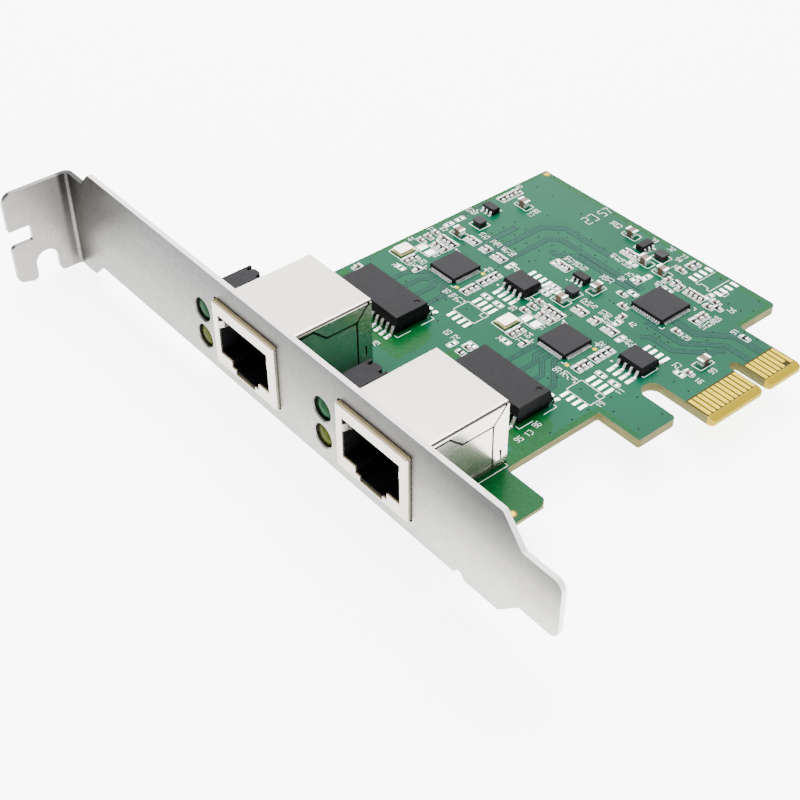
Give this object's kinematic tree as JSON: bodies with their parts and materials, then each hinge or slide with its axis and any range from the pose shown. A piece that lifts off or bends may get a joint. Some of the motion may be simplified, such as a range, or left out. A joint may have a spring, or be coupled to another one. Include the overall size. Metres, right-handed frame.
{
  "type": "network interface card",
  "caption": "Two-port network card for an expansion slot: folded full-height bracket with two shielded jacks and lamps, green board, edge contacts and surface-mounted parts.",
  "frame": {"origin": "middle of the key notch between the two contact tongues, at the contact edge, on the board's component side", "axes": "+X out of the contact edge, the way the card goes into its slot; +Y from the bracket into the case along the board; +Z out of the component side"},
  "size_m": [0.12, 0.0886, 0.0214],
  "materials": {
    "bracket_steel": "satin nickel-plated sheet steel",
    "solder_mask": "green solder mask over glass-epoxy laminate",
    "gold_plate": "thin gold plate on copper",
    "screw_steel": "zinc-plated steel",
    "jack_shield": "bright tinned sheet brass",
    "solder": "bright solder",
    "black_plastic": "moulded glass-filled plastic",
    "green_lens": "tinted clear lens",
    "yellow_lens": "tinted clear lens",
    "tinned_lead": "bright tin plate",
    "crystal_base": "gold-plated seal ring on a ceramic base",
    "crystal_lid": "plated lid",
    "ferrite": "ferrite and lacquer",
    "capacitor_ceramic": "fired brown ceramic",
    "resistor_glaze": "black glaze",
    "chip_epoxy": "moulded epoxy"
  },
  "bodies": {
    "root": {"board_screws": "screw_steel", "bracket": "bracket_steel", "bridge_chip": "chip_epoxy", "bridge_chip_pads": "tinned_lead", "capacitor_bodies": "capacitor_ceramic", "capacitor_ends": "tinned_lead", "circuit_board": "solder_mask", "controller_1": "chip_epoxy", "controller_1_pads": "tinned_lead", "controller_2": "chip_epoxy", "controller_2_pads": "tinned_lead", "crystal_bases": "crystal_base", "crystal_lids": "crystal_lid", "edge_contacts_back": "gold_plate", "edge_contacts_front": "gold_plate", "flash_chip_1": "chip_epoxy", "flash_chip_1_leads": "tinned_lead", "flash_chip_2": "chip_epoxy", "flash_chip_2_leads": "tinned_lead", "green_lamp_1": "green_lens", "green_lamp_2": "green_lens", "lamp_holder_1": "black_plastic", "lamp_holder_2": "black_plastic", "large_capacitor_bodies": "capacitor_ceramic", "large_capacitor_ends": "tinned_lead", "port_1_housing": "black_plastic", "port_1_pins": "solder", "port_1_shield": "jack_shield", "port_1_wires": "gold_plate", "port_2_housing": "black_plastic", "port_2_pins": "solder", "port_2_shield": "jack_shield", "port_2_wires": "gold_plate", "power_inductors": "ferrite", "regulator_leads": "tinned_lead", "regulators": "chip_epoxy", "resistor_bodies": "resistor_glaze", "resistor_ends": "tinned_lead", "transformer_1": "chip_epoxy", "transformer_1_leads": "tinned_lead", "transformer_2": "chip_epoxy", "transformer_2_leads": "tinned_lead", "yellow_lamp_1": "yellow_lens", "yellow_lamp_2": "yellow_lens"}
  },
  "joints": []
}
